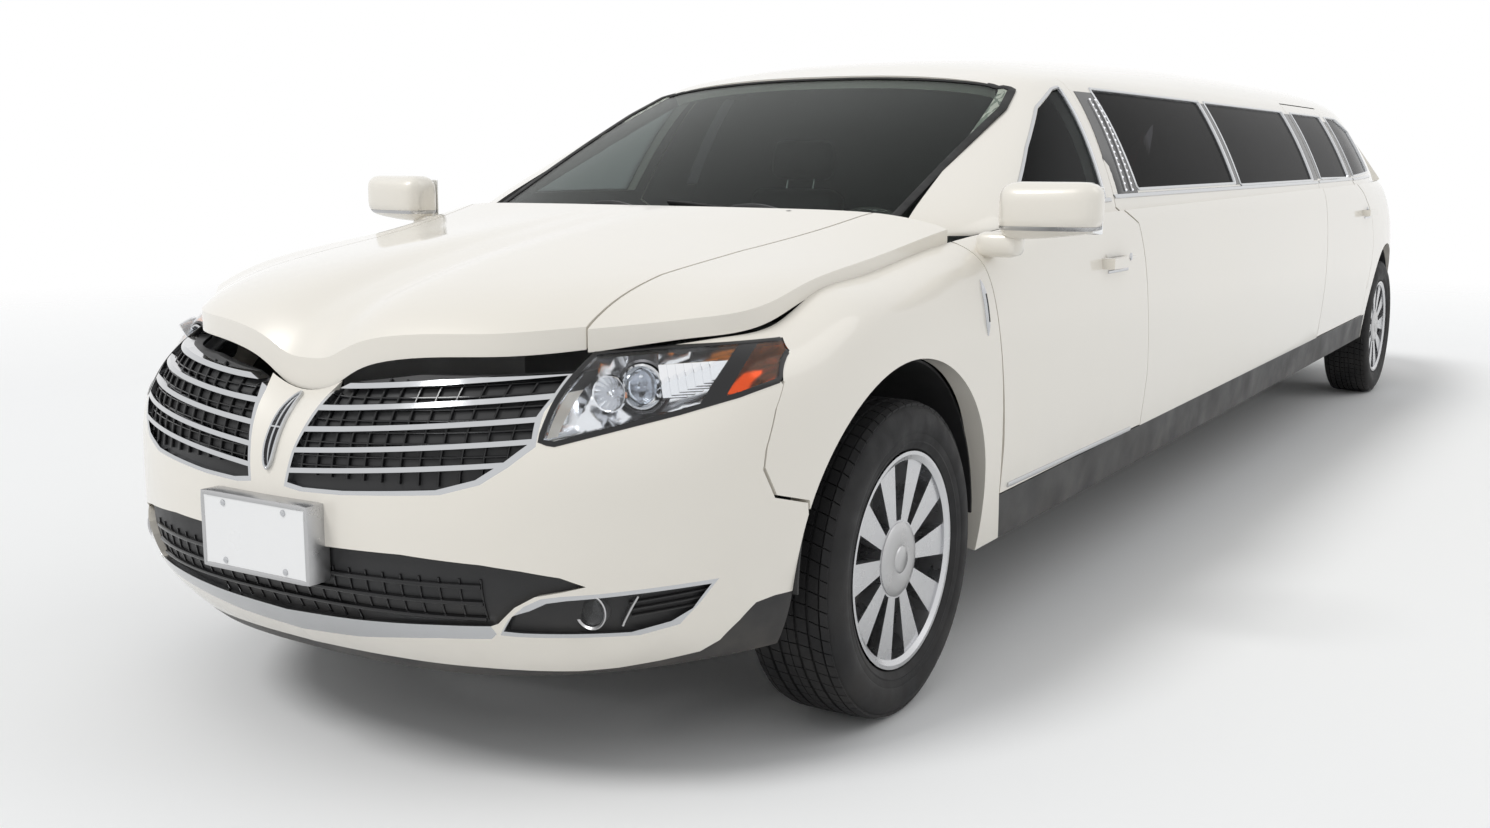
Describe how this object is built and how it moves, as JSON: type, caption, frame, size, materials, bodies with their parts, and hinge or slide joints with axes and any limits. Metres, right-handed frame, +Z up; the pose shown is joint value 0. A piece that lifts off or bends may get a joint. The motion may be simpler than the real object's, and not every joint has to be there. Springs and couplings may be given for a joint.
{
  "type": "stretch limousine",
  "caption": "Long white stretch limousine on a luxury crossover, with hinged doors, hood and tailgate, steered front wheels and free-turning wheels.",
  "frame": {"origin": "on the ground under the middle of the overall length and width", "axes": "+X forward, +Y to the vehicle's left, +Z up"},
  "size_m": [8.3556, 2.42, 1.6995],
  "materials": {
    "paint": "gloss pearl",
    "trim_black": "satin",
    "chrome_trim": "polished",
    "lamp_clear": "clear",
    "lamp_red": "gloss",
    "glass_clear": "clear",
    "glass_tinted": "tinted",
    "glass_dark": "dark tint",
    "underbody": "matt",
    "engine_alloy": "cast",
    "exhaust_steel": "satin",
    "cabin_plastic": "grained",
    "cabin_leather": "satin",
    "bar_wood": "lacquered",
    "plate_white": "satin",
    "tyre_rubber": "matt",
    "rim_alloy": "silver lacquer"
  },
  "bodies": {
    "vehicle": {"bar_cabinet": "bar_wood", "body_side_left": "paint", "body_side_right": "paint", "bumper_trim": "chrome_trim", "chassis_frame": "underbody", "cowl": "trim_black", "dashboard": "cabin_plastic", "engine_block": "engine_alloy", "exhaust_system": "exhaust_steel", "fender_tops": "paint", "floor_pan": "underbody", "fog_lamps": "trim_black", "front_bumper": "paint", "front_fenders": "paint", "front_lip": "trim_black", "front_plate": "plate_white", "front_seats": "cabin_leather", "front_suspension": "underbody", "grille": "trim_black", "grille_bars": "chrome_trim", "headlamps": "lamp_clear", "lounge_seats": "cabin_leather", "lower_grille": "trim_black", "partition": "cabin_plastic", "rear_axle": "underbody", "rear_bumper": "paint", "rocker_cladding": "trim_black", "roof": "paint", "side_glass": "glass_dark", "steering_wheel": "cabin_leather", "tail_lamps": "lamp_red", "wheel_liners": "trim_black", "windscreen": "glass_clear", "wipers": "trim_black"},
    "hood": {"hood": "paint"},
    "tailgate": {"tailgate": "paint", "tailgate_glass": "glass_dark", "tailgate_lamp": "lamp_red"},
    "door_front_left": {"door_front_left": "paint", "glass_front_left": "glass_tinted", "mirror_left": "paint"},
    "door_rear_left": {"door_rear_left": "paint", "glass_rear_left": "glass_dark"},
    "knuckle_left": {"knuckle_left": "underbody"},
    "wheel_front_left": {"tyre_front_left": "tyre_rubber", "rim_front_left": "rim_alloy"},
    "wheel_rear_left": {"tyre_rear_left": "tyre_rubber", "rim_rear_left": "rim_alloy"},
    "door_front_right": {"door_front_right": "paint", "glass_front_right": "glass_tinted", "mirror_right": "paint"},
    "door_rear_right": {"door_rear_right": "paint", "glass_rear_right": "glass_dark"},
    "knuckle_right": {"knuckle_right": "underbody"},
    "wheel_front_right": {"tyre_front_right": "tyre_rubber", "rim_front_right": "rim_alloy"},
    "wheel_rear_right": {"tyre_rear_right": "tyre_rubber", "rim_rear_right": "rim_alloy"}
  },
  "joints": [
    {"name": "hood_hinge", "type": "hinge", "parent": "vehicle", "child": "hood", "pos_m": [2.658, 0, 1.135], "axis": [0, -1, 0], "range_deg": [0, 50]},
    {"name": "tailgate_hinge", "type": "hinge", "parent": "vehicle", "child": "tailgate", "pos_m": [-3.3164, 0, 1.65], "axis": [0, 1, 0], "range_deg": [0, 75]},
    {"name": "door_front_left_hinge", "type": "hinge", "parent": "vehicle", "child": "door_front_left", "pos_m": [2.703, 0.968, 0.7], "axis": [0, 0, -1], "range_deg": [0, 65]},
    {"name": "door_rear_left_hinge", "type": "hinge", "parent": "vehicle", "child": "door_rear_left", "pos_m": [-1.287, 0.968, 0.7], "axis": [0, 0, -1], "range_deg": [0, 65]},
    {"name": "door_front_right_hinge", "type": "hinge", "parent": "vehicle", "child": "door_front_right", "pos_m": [2.703, -0.968, 0.7], "axis": [0, 0, 1], "range_deg": [0, 65]},
    {"name": "door_rear_right_hinge", "type": "hinge", "parent": "vehicle", "child": "door_rear_right", "pos_m": [-1.287, -0.968, 0.7], "axis": [0, 0, 1], "range_deg": [0, 65]},
    {"name": "steer_left", "type": "hinge", "parent": "vehicle", "child": "knuckle_left", "pos_m": [3.113, 0.717, 0.3705], "axis": [0, 0, 1], "range_deg": [-33, 33]},
    {"name": "spin_front_left", "type": "hinge", "parent": "knuckle_left", "child": "wheel_front_left", "pos_m": [3.113, 0.835, 0.3705], "axis": [0, 1, 0], "continuous": true},
    {"name": "spin_rear_left", "type": "hinge", "parent": "vehicle", "child": "wheel_rear_left", "pos_m": [-2.93, 0.835, 0.3705], "axis": [0, 1, 0], "continuous": true},
    {"name": "steer_right", "type": "hinge", "parent": "vehicle", "child": "knuckle_right", "pos_m": [3.113, -0.717, 0.3705], "axis": [0, 0, 1], "range_deg": [-33, 33]},
    {"name": "spin_front_right", "type": "hinge", "parent": "knuckle_right", "child": "wheel_front_right", "pos_m": [3.113, -0.835, 0.3705], "axis": [0, 1, 0], "continuous": true},
    {"name": "spin_rear_right", "type": "hinge", "parent": "vehicle", "child": "wheel_rear_right", "pos_m": [-2.93, -0.835, 0.3705], "axis": [0, 1, 0], "continuous": true}
  ],
  "couplings": [
    {"joint": "steer_right", "follows": "steer_left", "ratio": 1}
  ]
}
